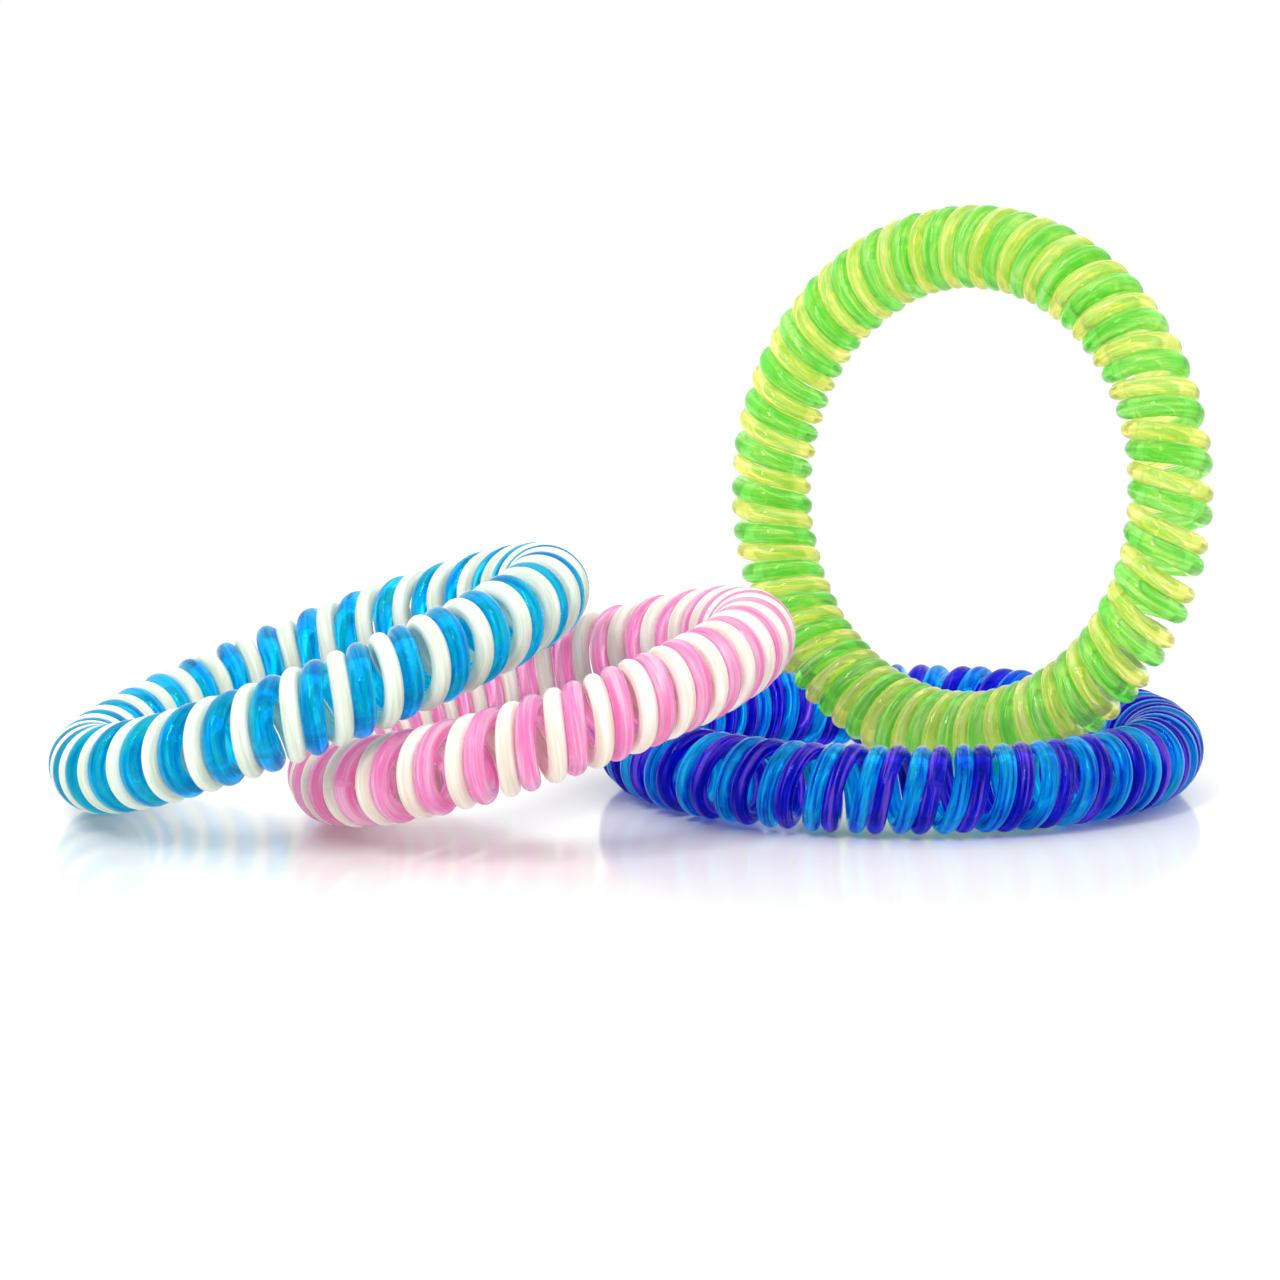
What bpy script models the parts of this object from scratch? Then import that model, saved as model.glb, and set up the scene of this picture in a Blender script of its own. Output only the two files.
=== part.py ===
"""Stack of four stretchy coil rings. Each ring is two flexible cords wound side by side into a
left-handed helix whose core line is a closed oval. Units are metres, +Z is up, the table is Z = 0."""
import bpy
from math import cos, hypot, pi, radians, sin

MM = 0.001

# Coil section, shared by all rings
COIL_RADIUS = 7.0 * MM          # half the outside height of a coil, measured on its flats
FACETS_PER_TURN = 8             # straight runs of cord in one turn
CORNER = 1.0 / cos(pi / FACETS_PER_TURN)
CORD_GAP = 0.4 * MM             # air between the cut ends of a cord
PAIR_GAP = 0.45 * MM            # air between the two cords of a pair, before the helix slants them
LEAN_ALLOWANCE = 1.03           # the cords cross the core line at a slant, which widens their spacing
FIRST_ANGLE = pi / FACETS_PER_TURN

# Stack offset, which puts the frame origin under the middle of the bounding box
STACK_X = 1.19 * MM
STACK_Y = 15.27 * MM

# One entry per ring: centre of the core line, rotation (X, Y, Z), half-axes of the oval, turns, and
# cord width along the core and thickness across it. The turns are a little uneven: "slack_once" and
# "slack_twice" are how much the spacing swings once and twice round the ring, and the oval angle
# where it is loosest. The moving half begins at "moving_from". "halves" names the fixed and moving half.
RINGS = {
    "indigo_ring": {
        "centre": (41.6 * MM, -3.9 * MM, 7.0 * MM),
        "turn_xyz": (0.0, 0.0, 0.0),
        "half_axes": (41.5 * MM, 37.0 * MM),
        "turns": 38,
        "width": 1.7 * MM,
        "thickness": 2.6 * MM,
        "slack_once": (0.05, radians(4.0)),
        "slack_twice": (0.08, radians(28.0)),
        "moving_from": radians(-89.4),
        "halves": ("left", "right"),
        "cords": ("cyan_cord", "violet_cord"),
    },
    "lime_ring": {
        "centre": (52.4 * MM, 8.2 * MM, 46.4 * MM),
        "turn_xyz": (radians(84.3), 0.0, radians(-35.4)),
        "half_axes": (37.3 * MM, 39.2 * MM),
        "turns": 38,
        "width": 1.75 * MM,
        "thickness": 2.6 * MM,
        "slack_once": (0.05, radians(27.0)),
        "slack_twice": (0.08, radians(-5.0)),
        "moving_from": radians(1.1),
        "halves": ("lower", "upper"),
        "cords": ("green_cord", "yellow_cord"),
    },
    "rose_ring": {
        "centre": (-15.2 * MM, -28.9 * MM, 18.1 * MM),
        "turn_xyz": (0.0, radians(-18.1), radians(-2.9)),
        "half_axes": (33.9 * MM, 34.7 * MM),
        "turns": 32,
        "width": 1.9 * MM,
        "thickness": 2.7 * MM,
        "slack_once": (0.04, radians(79.0)),
        "slack_twice": (0.12, radians(54.0)),
        "moving_from": radians(-140.4),
        "halves": ("rear", "front"),
        "cords": ("cream_cord", "pink_cord"),
    },
    "azure_ring": {
        "centre": (-49.9 * MM, -19.2 * MM, 20.9 * MM),
        "turn_xyz": (0.0, radians(-20.6), radians(-4.5)),
        "half_axes": (37.6 * MM, 40.9 * MM),
        "turns": 32,
        "width": 2.2 * MM,
        "thickness": 2.7 * MM,
        "slack_once": (0.095, radians(37.0)),
        "slack_twice": (0.05, radians(38.0)),
        "moving_from": radians(-182.8),
        "halves": ("rear", "front"),
        "cords": ("white_cord", "blue_cord"),
    },
}

# Cord colours, and whether light passes through the cord
COLOURS = {
    "cyan_cord": ((0.02, 0.42, 0.86), True),
    "violet_cord": ((0.10, 0.04, 0.70), True),
    "green_cord": ((0.22, 0.78, 0.10), True),
    "yellow_cord": ((0.82, 0.88, 0.18), True),
    "cream_cord": ((0.93, 0.90, 0.80), False),
    "pink_cord": ((0.90, 0.32, 0.62), True),
    "white_cord": ((0.92, 0.92, 0.86), False),
    "blue_cord": ((0.02, 0.48, 0.84), True),
}


def clear_scene():
    for obj in list(bpy.data.objects):
        bpy.data.objects.remove(obj, do_unlink=True)


def make_material(name, colour, lets_light_through):
    material = bpy.data.materials.new(name)
    material.use_nodes = True
    shader = material.node_tree.nodes["Principled BSDF"]
    shader.inputs["Base Color"].default_value = (colour[0], colour[1], colour[2], 1.0)
    shader.inputs["Roughness"].default_value = 0.18
    shader.inputs["Transmission Weight"].default_value = 0.6 if lets_light_through else 0.0
    return material


def oval_angle(ring, turn):
    """Angle along the oval core line after this many turns of the coil."""
    even = 2.0 * pi * turn / ring["turns"] + ring["moving_from"]
    once, loosest_once = ring["slack_once"]
    twice, loosest_twice = ring["slack_twice"]
    return even + once * sin(even - loosest_once) + 0.5 * twice * sin(2.0 * (even - loosest_twice))


def cord_angle(ring, turn, second):
    """Oval angle of a cord; the second cord of the pair runs one cord width further on."""
    angle = oval_angle(ring, turn)
    if second:
        around = FIRST_ANGLE + 2.0 * pi * turn
        long_axis, short_axis = ring["half_axes"]
        pace = hypot(long_axis * sin(angle), short_axis * cos(angle))
        curvature = long_axis * short_axis / pace ** 3
        tightest = COIL_RADIUS if cos(around) < 0.0 else COIL_RADIUS - ring["thickness"]
        squeeze = 1.0 + tightest * CORNER * cos(around) * curvature
        angle += (ring["width"] + PAIR_GAP) * LEAN_ALLOWANCE / (pace * squeeze)
    return angle


def cord_section(ring, turn, second):
    """Four corners of a cord's cross-section at one bend of the coil, in the ring's own frame."""
    angle = cord_angle(ring, turn, second)
    around = FIRST_ANGLE + 2.0 * pi * turn
    long_axis, short_axis = ring["half_axes"]
    pace = hypot(long_axis * sin(angle), short_axis * cos(angle))
    outward = (short_axis * cos(angle) / pace, long_axis * sin(angle) / pace)
    along = (-outward[1], outward[0])
    outer = COIL_RADIUS * CORNER
    inner = (COIL_RADIUS - ring["thickness"]) * CORNER
    side = 0.5 * ring["width"] * LEAN_ALLOWANCE
    corners = []
    for radius, shift in ((outer, -side), (outer, side), (inner, side), (inner, -side)):
        reach = radius * cos(around)
        x = long_axis * cos(angle) + reach * outward[0] + shift * along[0]
        y = short_axis * sin(angle) + reach * outward[1] + shift * along[1]
        corners.append((x, y, radius * sin(around)))
    return corners


def blend_sections(first, second, share):
    return [tuple(a + (b - a) * share for a, b in zip(p, q)) for p, q in zip(first, second)]


def half_cord_sections(ring, second, first_turn, last_turn):
    """Sections from one cut end to the other, each end trimmed by half a gap."""
    steps = (last_turn - first_turn) * FACETS_PER_TURN
    sections = [cord_section(ring, first_turn + k / FACETS_PER_TURN, second) for k in range(steps + 1)]
    run_length = 2.0 * COIL_RADIUS * sin(pi / FACETS_PER_TURN)
    trim = 0.5 * CORD_GAP / run_length
    sections[0] = blend_sections(sections[0], sections[1], trim)
    sections[-1] = blend_sections(sections[-1], sections[-2], trim)
    return sections


def sweep_mesh(name, sections):
    vertices = [corner for section in sections for corner in section]
    faces = [(3, 2, 1, 0)]
    for k in range(len(sections) - 1):
        base = 4 * k
        for i in range(4):
            j = (i + 1) % 4
            faces.append((base + i, base + j, base + 4 + j, base + 4 + i))
    last = 4 * (len(sections) - 1)
    faces.append((last, last + 1, last + 2, last + 3))
    mesh = bpy.data.meshes.new(name)
    mesh.from_pydata(vertices, [], faces)
    mesh.update()
    return mesh


def add_half_cord(ring_name, ring, cord_index, half_index):
    cord = ring["cords"][cord_index]
    name = ring_name + "." + cord + "." + ring["halves"][half_index]
    half_turns = ring["turns"] // 2
    # Half 1 moves and starts at the ring's first turn; half 0 stays and carries on from its end
    first_turn = 0 if half_index == 1 else half_turns
    sections = half_cord_sections(ring, cord_index == 1, first_turn, first_turn + half_turns)
    obj = bpy.data.objects.new(name, sweep_mesh(name, sections))
    bpy.context.scene.collection.objects.link(obj)
    centre = ring["centre"]
    obj.location = (centre[0] + STACK_X, centre[1] + STACK_Y, centre[2])
    obj.rotation_euler = ring["turn_xyz"]
    colour, lets_light_through = COLOURS[cord]
    obj.data.materials.append(make_material(name, colour, lets_light_through))
    return obj


def build():
    clear_scene()
    for ring_name, ring in RINGS.items():
        for cord_index in (0, 1):
            for half_index in (0, 1):
                add_half_cord(ring_name, ring, cord_index, half_index)


build()
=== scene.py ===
from math import pi, radians

import bpy
import numpy as np
from mathutils import Euler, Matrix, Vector


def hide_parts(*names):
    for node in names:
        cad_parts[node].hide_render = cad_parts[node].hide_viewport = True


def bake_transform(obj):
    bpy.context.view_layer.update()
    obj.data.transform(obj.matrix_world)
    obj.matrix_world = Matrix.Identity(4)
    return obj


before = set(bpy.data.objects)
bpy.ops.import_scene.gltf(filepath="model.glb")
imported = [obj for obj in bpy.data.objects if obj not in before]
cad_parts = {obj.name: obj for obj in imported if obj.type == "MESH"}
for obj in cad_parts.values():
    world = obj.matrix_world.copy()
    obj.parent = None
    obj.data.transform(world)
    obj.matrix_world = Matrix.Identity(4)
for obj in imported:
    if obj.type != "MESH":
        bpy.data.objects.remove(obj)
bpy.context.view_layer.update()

MM = 0.001

# ---------------------------------------------------------------- the rings, as in the CAD
COIL_RADIUS = 7.0 * MM
STACK = np.array([1.19, 15.27, 0.0]) * MM  # moves the whole stack to where the CAD has it
FIRST_ANGLE = pi / 8  # angle round the coil where its first turn starts

# Lengths are in mm and angles in degrees. slack_once and slack_twice are (how much the spacing of the
# turns varies, where it is widest), once and twice round the ring. The first turn, and with it the
# moving half, starts at moving_from. halves names the fixed and the moving half. Each cord is given
# with its diameter.
RINGS = {
    "indigo_ring": dict(
        centre=(41.6, -3.9, 7.0), turn_xyz=(0, 0, 0), half_axes=(41.5, 37.0), turns=38,
        slack_once=(0.05, 4), slack_twice=(0.08, 28), moving_from=-89.4,
        halves=("left", "right"),
        cords=(("cyan_cord", 2.8), ("violet_cord", 2.8)), seed=3),
    "lime_ring": dict(
        centre=(52.4, 8.2, 46.4), turn_xyz=(84.3, 0, -35.4), half_axes=(37.3, 39.2), turns=38,
        slack_once=(0.05, 27), slack_twice=(0.08, -5), moving_from=1.1,
        halves=("lower", "upper"),
        cords=(("green_cord", 3.4), ("yellow_cord", 2.9)), seed=5),
    "rose_ring": dict(
        centre=(-15.2, -28.9, 18.1), turn_xyz=(0, -18.1, -2.9), half_axes=(33.9, 34.7), turns=32,
        slack_once=(0.04, 79), slack_twice=(0.12, 54), moving_from=-140.4,
        halves=("rear", "front"),
        cords=(("cream_cord", 2.9), ("pink_cord", 3.1)), seed=8),
    "azure_ring": dict(
        centre=(-49.9, -19.2, 20.9), turn_xyz=(0, -20.6, -4.5), half_axes=(37.6, 40.9), turns=32,
        slack_once=(0.095, 37), slack_twice=(0.05, 38), moving_from=-182.8,
        halves=("rear", "front"),
        cords=(("white_cord", 2.9), ("blue_cord", 3.5)), seed=13),
}

# ---------------------------------------------------------------- how the cords are drawn
STEPS_PER_TURN = 44
SIDES = 16
INSET_MM = 0.2  # keeps the cord inside the coil's radius
WOBBLE_MM = 0.1  # uneven winding, inwards or outwards
WOBBLES_PER_TURN = 2
SECOND_CORD_SEED = 40  # added to the ring's seed for its second cord
FILLED = 0.97  # share of a turn's room that the two cords take up where they crowd
APART = 1.01  # distance between the two cords, where 1 is touching


def oval_angle(ring, turn):
    """Angle along the oval core line after this many turns of the coil."""
    even = 2 * pi * turn / ring["turns"] + radians(ring["moving_from"])
    once, loosest_once = ring["slack_once"]
    twice, loosest_twice = ring["slack_twice"]
    return (even + once * np.sin(even - radians(loosest_once))
            + 0.5 * twice * np.sin(2 * (even - radians(loosest_twice))))


def cord_path(ring, second):
    """The ring's core line at each step, one cord's centre line, its outward and sideways directions
    and its width, all in the ring's frame.

    The cord is round where the turns are loose, and narrower where they crowd on the ring's inner side.
    """
    diameter = ring["cords"][second][1] * MM
    thickest = max(cord[1] for cord in ring["cords"]) * MM
    count = ring["turns"] * STEPS_PER_TURN
    turn = np.arange(count) / STEPS_PER_TURN
    around = FIRST_ANGLE + 2 * pi * turn
    angle = oval_angle(ring, turn)
    next_turn = oval_angle(ring, turn + 0.5) - oval_angle(ring, turn - 0.5)
    half_x, half_y = (a * MM for a in ring["half_axes"])
    reach = COIL_RADIUS - 0.5 * thickest

    def metres_per_radian(angle):
        pace = np.hypot(half_x * np.sin(angle), half_y * np.cos(angle))
        return pace * (1 + reach * np.cos(around) * half_x * half_y / pace ** 3)

    lean = np.hypot(1.0, next_turn * metres_per_radian(angle) / (2 * pi * reach))
    room = next_turn * metres_per_radian(angle) / lean
    both = sum(cord[1] for cord in ring["cords"]) * MM
    crowding = np.minimum(1.0, FILLED * room / both)
    width = diameter * crowding
    if second:
        apart = 0.5 * both * crowding * lean * APART
        angle = angle + apart / metres_per_radian(angle)
    outward = np.stack([half_y * np.cos(angle), half_x * np.sin(angle), 0 * angle], -1)
    outward /= np.linalg.norm(outward, axis=-1, keepdims=True)
    up = np.array([0.0, 0.0, 1.0])
    rng = np.random.default_rng(ring["seed"] + (SECOND_CORD_SEED if second else 0))
    wobble = smooth_noise(rng, count, ring["turns"] * WOBBLES_PER_TURN) * WOBBLE_MM * MM
    radial = np.cos(around)[:, None] * outward + np.sin(around)[:, None] * up
    core = np.stack([half_x * np.cos(angle), half_y * np.sin(angle), 0 * angle], -1)
    centre = core + (COIL_RADIUS - 0.5 * diameter - INSET_MM * MM + wobble)[:, None] * radial
    ahead = np.roll(centre, -1, 0) - np.roll(centre, 1, 0)
    ahead /= np.linalg.norm(ahead, axis=-1, keepdims=True)
    side = np.cross(ahead, radial)
    side /= np.linalg.norm(side, axis=-1, keepdims=True)
    out = np.cross(side, ahead)
    return core, centre, out, side, width


def smooth_noise(rng, count, knots):
    """Closed, smooth random curve between -1 and 1, with one random value at each knot."""
    values = rng.uniform(-1, 1, knots)
    place = np.arange(count) * knots / count
    low = np.floor(place).astype(int)
    share = place - low
    share = share * share * (3 - 2 * share)
    return values[low % knots] * (1 - share) + values[(low + 1) % knots] * share


def cord_mesh(name, ring, second):
    """A closed round cord. Returns the object, and each vertex's point on the core line.

    cord_place holds a vertex's place round the section (x, y) and along the cord in mm (z).
    """
    core, centre, out, side, width = cord_path(ring, second)
    diameter = ring["cords"][second][1] * MM
    count = len(centre)
    section = 2 * pi * np.arange(SIDES) / SIDES
    half = 0.5 * diameter
    points = (centre[:, None, :]
              + half * np.cos(section)[None, :, None] * out[:, None, :]
              + 0.5 * width[:, None, None] * np.sin(section)[None, :, None] * side[:, None, :])
    rotation = np.array(Euler([radians(a) for a in ring["turn_xyz"]]).to_matrix())
    origin = np.array(ring["centre"]) * MM + STACK
    points = points.reshape(-1, 3) @ rotation.T + origin
    anchors = np.repeat(core, SIDES, 0) @ rotation.T + origin
    i = np.arange(count)[:, None]
    j = np.arange(SIDES)[None, :]
    i2 = (i + 1) % count
    j2 = (j + 1) % SIDES
    corners = [i * SIDES + j, i * SIDES + j2, i2 * SIDES + j2, i2 * SIDES + j]
    faces = np.stack(corners, -1).reshape(-1, 4)
    mesh = bpy.data.meshes.new(name)
    mesh.from_pydata(points.tolist(), [], faces.tolist())
    mesh.polygons.foreach_set("use_smooth", np.ones(len(mesh.polygons), bool))
    step = np.linalg.norm(np.roll(centre, -1, 0) - centre, axis=-1)
    length = np.concatenate([[0], np.cumsum(step)[:-1]])
    along = np.stack([
        np.tile(np.cos(section), count),
        np.tile(np.sin(section), count),
        np.repeat(length, SIDES) / MM], -1)
    attribute = mesh.attributes.new("cord_place", "FLOAT_VECTOR", "POINT")
    attribute.data.foreach_set("vector", along.astype(np.float32).ravel())
    mesh.update()
    obj = bpy.data.objects.new(name, mesh)
    bpy.context.scene.collection.objects.link(obj)
    return obj, anchors


def blend_round(obj, anchors):
    """Bakes the object's transform into the mesh while each vertex sits at its section's point on the
    core line, then puts the vertices back.
    """
    real = np.zeros(len(obj.data.vertices) * 3, np.float32)
    obj.data.vertices.foreach_get("co", real)
    obj.data.vertices.foreach_set("co", anchors.astype(np.float32).ravel())
    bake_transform(obj)
    obj.data.vertices.foreach_set("co", real)
    obj.data.update()


# ---------------------------------------------------------------- materials
# Noise over cord_place: the third scale is along the cord, and small, so the pattern runs lengthwise.
STREAKS = dict(scale_xyz=(2.2, 2.2, 0.09), detail=3.0, roughness=0.6)
DRIFT = dict(scale_xyz=(0.9, 0.9, 0.12), detail=2.0, roughness=0.5)
FINE_LINES = dict(scale_xyz=(4.0, 4.0, 0.30), detail=3.0, roughness=0.5)
DRIFT_SHARE = 0.35
DEEP_AT, MAIN_AT, LIGHT_AT = 0.42, 0.51, 0.60  # where the noise gives each of a look's three colours
BUMP_DEPTH_MM = 0.08


def node(tree, kind, **values):
    """New shader node with these properties set."""
    made = tree.nodes.new(kind)
    for key, value in values.items():
        setattr(made, key, value)
    return made


def cord_material(name, look):
    """Flexible moulded cord: colour drifts along it, fine drawn lines run lengthwise, gloss is uneven."""
    material = bpy.data.materials.new(name)
    material.use_nodes = True
    tree = material.node_tree
    shader = tree.nodes["Principled BSDF"]
    link = tree.links.new
    place = node(tree, "ShaderNodeAttribute", attribute_name="cord_place")

    def noise(scale_xyz, detail, roughness):
        mapping = node(tree, "ShaderNodeMapping")
        mapping.inputs["Scale"].default_value = scale_xyz
        link(place.outputs["Vector"], mapping.inputs["Vector"])
        texture = node(tree, "ShaderNodeTexNoise")
        texture.inputs["Scale"].default_value = 1.0
        texture.inputs["Detail"].default_value = detail
        texture.inputs["Roughness"].default_value = roughness
        link(mapping.outputs["Vector"], texture.inputs["Vector"])
        return texture.outputs["Fac"]

    streaks = noise(**STREAKS)
    drift = noise(**DRIFT)
    fine = noise(**FINE_LINES)

    ramp = node(tree, "ShaderNodeValToRGB")
    stops = ramp.color_ramp
    stops.elements[0].position = DEEP_AT
    stops.elements[0].color = (*look["deep"], 1)
    stops.elements[1].position = LIGHT_AT
    stops.elements[1].color = (*look["light"], 1)
    middle = stops.elements.new(MAIN_AT)
    middle.color = (*look["main"], 1)
    mix = node(tree, "ShaderNodeMix", data_type="FLOAT")
    mix.inputs[0].default_value = DRIFT_SHARE
    link(streaks, mix.inputs[2])
    link(drift, mix.inputs[3])
    link(mix.outputs[0], ramp.inputs["Fac"])
    link(ramp.outputs["Color"], shader.inputs["Base Color"])
    # Painted light: the ramp's colours also go out as a faint emission, which brightens the cord's shaded
    # parts.
    link(ramp.outputs["Color"], shader.inputs["Emission Color"])
    shader.inputs["Emission Strength"].default_value = look["painted_glow"]

    rough = node(tree, "ShaderNodeMapRange")
    rough.inputs["To Min"].default_value = look["rough"][0]
    rough.inputs["To Max"].default_value = look["rough"][1]
    link(drift, rough.inputs["Value"])
    link(rough.outputs["Result"], shader.inputs["Roughness"])

    bump = node(tree, "ShaderNodeBump")
    bump.inputs["Strength"].default_value = look["bump"]
    bump.inputs["Distance"].default_value = BUMP_DEPTH_MM * MM
    link(fine, bump.inputs["Height"])
    link(bump.outputs["Normal"], shader.inputs["Normal"])

    shader.inputs["IOR"].default_value = look["ior"]
    shader.inputs["Specular Tint"].default_value = (*look["mirror"], 1)
    shader.inputs["Specular IOR Level"].default_value = look["shine"]
    shader.inputs["Transmission Weight"].default_value = look["clear"]
    shader.inputs["Subsurface Weight"].default_value = look["milk"]
    shader.inputs["Subsurface Radius"].default_value = (1.0, 1.0, 1.0)
    shader.inputs["Subsurface Scale"].default_value = look["milk_depth"]
    if look["tint_per_metre"] > 0:
        volume = node(tree, "ShaderNodeVolumeAbsorption")
        volume.inputs["Color"].default_value = (*look["tint"], 1)
        volume.inputs["Density"].default_value = look["tint_per_metre"]
        link(volume.outputs["Volume"], tree.nodes["Material Output"].inputs["Volume"])
    return material


# deep, main and light are the cord's own colours, tint is its colour inside and mirror that of its
# reflections. clear is how much of it is see-through, and milk how much light spreads below the surface.
# The glow setting is painted light: the cord gives off its own colours as a faint emission, which lifts
# its shaded parts and keeps them bright and saturated, on the clear and the solid cords alike. It stands
# in for light that scatters inside the plastic.
CLEAR = dict(
    rough=(0.02, 0.09), bump=0.6, clear=0.84, milk=0.0, milk_depth=1.5 * MM, shine=0.3, ior=1.38,
    painted_glow=0.05, tint_per_metre=260.0)
SOLID = dict(
    rough=(0.26, 0.40), bump=0.15, clear=0.0, milk=0.7, milk_depth=1.5 * MM, shine=0.35, ior=1.47,
    painted_glow=0.07, tint_per_metre=0.0, tint=(1, 1, 1), mirror=(1, 1, 1))
LOOKS = {
    "cyan_cord": dict(
        CLEAR, ior=1.30, shine=0.15, painted_glow=0.06, deep=(0.0, 0.08, 0.66), main=(0.0, 0.62, 0.96),
        light=(0.05, 1.0, 1.0), tint=(0.0, 0.50, 0.95), mirror=(0.1, 0.6, 1.0)),
    "violet_cord": dict(
        CLEAR, ior=1.30, shine=0.15, painted_glow=0.05, deep=(0.0, 0.004, 0.44), main=(0.012, 0.02, 0.70),
        light=(0.52, 0.22, 1.0), tint=(0.20, 0.08, 0.95), mirror=(0.25, 0.3, 1.0)),
    "green_cord": dict(
        CLEAR, clear=0.80, painted_glow=0.08, deep=(0.22, 0.68, 0.10), main=(0.42, 0.79, 0.20),
        light=(0.76, 0.90, 0.42), tint=(0.35, 0.93, 0.30), tint_per_metre=150.0,
        mirror=(0.6, 1.0, 0.4)),
    "yellow_cord": dict(
        CLEAR, clear=0.80, painted_glow=0.085, deep=(0.60, 0.76, 0.17), main=(0.77, 0.85, 0.29),
        light=(0.96, 0.95, 0.56), tint=(0.97, 0.86, 0.30), tint_per_metre=130.0,
        mirror=(0.9, 1.0, 0.5)),
    "cream_cord": dict(
        SOLID, deep=(0.67, 0.58, 0.50), main=(0.74, 0.67, 0.59), light=(0.79, 0.75, 0.70)),
    "pink_cord": dict(
        CLEAR, rough=(0.06, 0.15), clear=0.64, milk=0.8, milk_depth=3.0 * MM, painted_glow=0.075,
        deep=(0.96, 0.30, 0.62), main=(0.97, 0.46, 0.73), light=(1.0, 0.74, 0.89),
        tint=(1.0, 0.50, 0.84), tint_per_metre=120.0, mirror=(1.0, 0.7, 0.85)),
    "white_cord": dict(
        SOLID, deep=(0.54, 0.61, 0.50), main=(0.64, 0.70, 0.60), light=(0.71, 0.76, 0.69)),
    "blue_cord": dict(
        CLEAR, ior=1.33, shine=0.2, painted_glow=0.06, deep=(0.0, 0.42, 0.80), main=(0.0, 0.80, 0.92),
        light=(0.06, 1.0, 0.98), tint=(0.0, 0.56, 0.93), mirror=(0.1, 0.7, 1.0)),
}

for ring_name, ring in RINGS.items():
    for second, (cord, _) in enumerate(ring["cords"]):
        piece, anchors = cord_mesh(f"{ring_name}.{cord}", ring, second)
        piece.data.materials.append(cord_material(f"{ring_name}_{cord}", LOOKS[cord]))
        blend_round(piece, anchors)
        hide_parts(*[f"{ring_name}.{cord}.{half}" for half in ring["halves"]])


# ---------------------------------------------------------------- floor, light and camera
FLOOR_HALF_SIZE = 3.0
FLOOR_DROP = -0.0002
ROOM_LEVEL = 0.62  # how bright the viewer's side of the room is
WALL_LEVEL = 1.3
TO_WALL = (0.0, 0.7, 0.7)
WALL_FADES_IN = (-0.45, 0.35)  # along TO_WALL
SENSOR_WIDTH = 36.0
FOCAL_LENGTH = 117.2
CAMERA_DISTANCE = 0.6595
CAMERA_HEIGHT = 0.1307
CAMERA_DIPS = 9.25  # degrees below level
BOUNCES = 24  # light goes through many turns of clear cord


def make_floor():
    """Plain pale floor with a soft sheen."""
    mesh = bpy.data.meshes.new("floor")
    size = FLOOR_HALF_SIZE
    corners = [(-size, -size, 0), (size, -size, 0), (size, size, 0), (-size, size, 0)]
    mesh.from_pydata(corners, [], [(0, 1, 2, 3)])
    floor = bpy.data.objects.new("floor", mesh)
    bpy.context.scene.collection.objects.link(floor)
    material = bpy.data.materials.new("floor_white")
    material.use_nodes = True
    shader = material.node_tree.nodes["Principled BSDF"]
    shader.inputs["Base Color"].default_value = (0.84, 0.84, 0.81, 1)
    shader.inputs["Emission Color"].default_value = (1, 1, 0.99, 1)
    shader.inputs["Emission Strength"].default_value = 0.02
    shader.inputs["Roughness"].default_value = 0.13
    shader.inputs["Specular IOR Level"].default_value = 0.45
    mesh.materials.append(material)
    floor.location.z = FLOOR_DROP


def add_area(name, place, target, size, power):
    """White softbox at a place, aimed at the target."""
    data = bpy.data.lights.new(name, "AREA")
    data.shape = "RECTANGLE"
    data.size, data.size_y = size
    data.energy = power
    light = bpy.data.objects.new(name, data)
    bpy.context.scene.collection.objects.link(light)
    light.location = place
    aim = Vector(target) - Vector(place)
    light.rotation_euler = aim.to_track_quat("-Z", "Y").to_euler()


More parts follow.
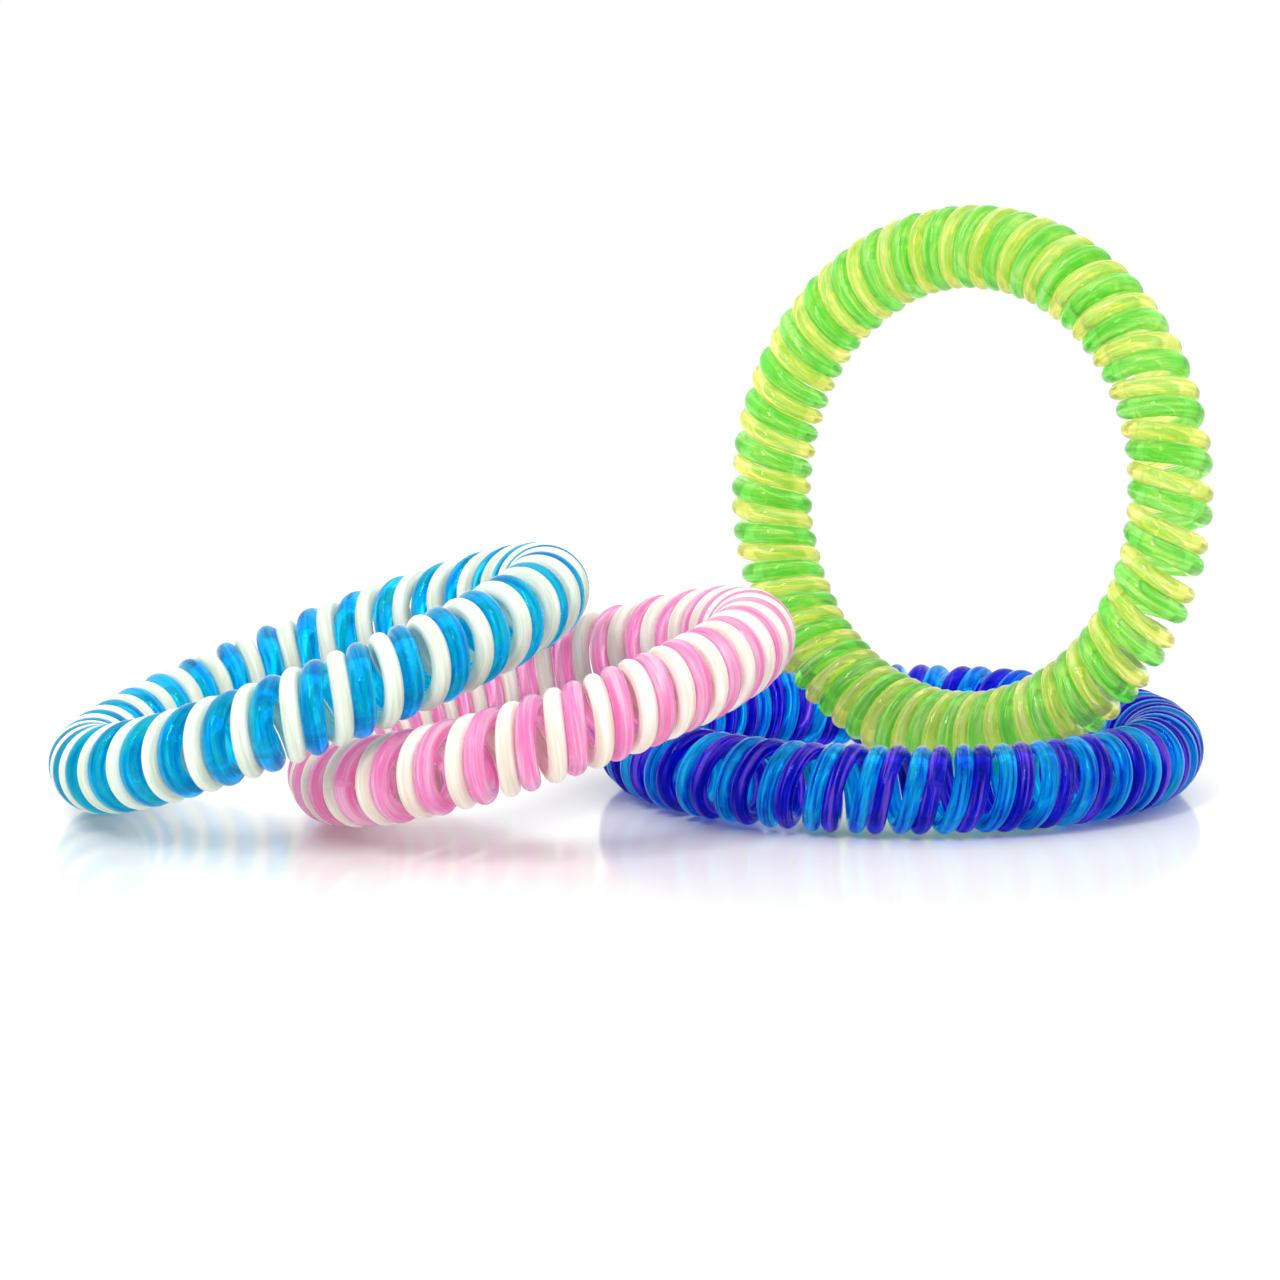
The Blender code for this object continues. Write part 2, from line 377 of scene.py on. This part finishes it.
def set_world():
    """White studio wall behind and above the rings, a dim room on the viewer's side, white backdrop."""
    world = bpy.data.worlds.new("studio")
    bpy.context.scene.world = world
    world.use_nodes = True
    tree = world.node_tree
    link = tree.links.new
    room = tree.nodes["Background"]
    backdrop = node(tree, "ShaderNodeBackground")
    backdrop.inputs["Color"].default_value = (1, 1, 1, 1)
    backdrop.inputs["Strength"].default_value = 1.0
    direction = node(tree, "ShaderNodeTexCoord")
    towards_wall = node(tree, "ShaderNodeVectorMath", operation="DOT_PRODUCT")
    towards_wall.inputs[1].default_value = TO_WALL
    link(direction.outputs["Generated"], towards_wall.inputs[0])
    level = node(tree, "ShaderNodeMapRange", interpolation_type="SMOOTHSTEP")
    level.inputs["From Min"].default_value = WALL_FADES_IN[0]
    level.inputs["From Max"].default_value = WALL_FADES_IN[1]
    level.inputs["To Min"].default_value = ROOM_LEVEL
    level.inputs["To Max"].default_value = WALL_LEVEL
    link(towards_wall.outputs["Value"], level.inputs["Value"])
    link(level.outputs["Result"], room.inputs["Strength"])
    room.inputs["Color"].default_value = (1, 1, 1, 1)
    rays = node(tree, "ShaderNodeLightPath")
    mix = node(tree, "ShaderNodeMixShader")
    link(rays.outputs["Is Camera Ray"], mix.inputs["Fac"])
    link(room.outputs["Background"], mix.inputs[1])
    link(backdrop.outputs["Background"], mix.inputs[2])
    link(mix.outputs["Shader"], tree.nodes["World Output"].inputs["Surface"])


def set_camera():
    """Camera in front of the stack, at the photo's angle."""
    data = bpy.data.cameras.new("camera")
    data.sensor_width = SENSOR_WIDTH
    data.lens = FOCAL_LENGTH
    data.clip_end = 20.0
    camera = bpy.data.objects.new("camera", data)
    bpy.context.scene.collection.objects.link(camera)
    camera.location = (STACK[0], STACK[1] - CAMERA_DISTANCE, CAMERA_HEIGHT)
    camera.rotation_euler = (radians(90 - CAMERA_DIPS), 0, 0)
    bpy.context.scene.camera = camera


make_floor()
set_world()
add_area("key", place=(-0.25, -0.55, 0.60), target=(0, 0, 0.03), size=(0.10, 0.45), power=3.8)
add_area("fill", place=(0.55, -0.45, 0.35), target=(0.02, 0, 0.03), size=(0.30, 0.30), power=0.5)
set_camera()
bpy.context.scene.view_settings.view_transform = "Standard"
bpy.context.scene.cycles.max_bounces = BOUNCES
bpy.context.scene.cycles.transmission_bounces = BOUNCES
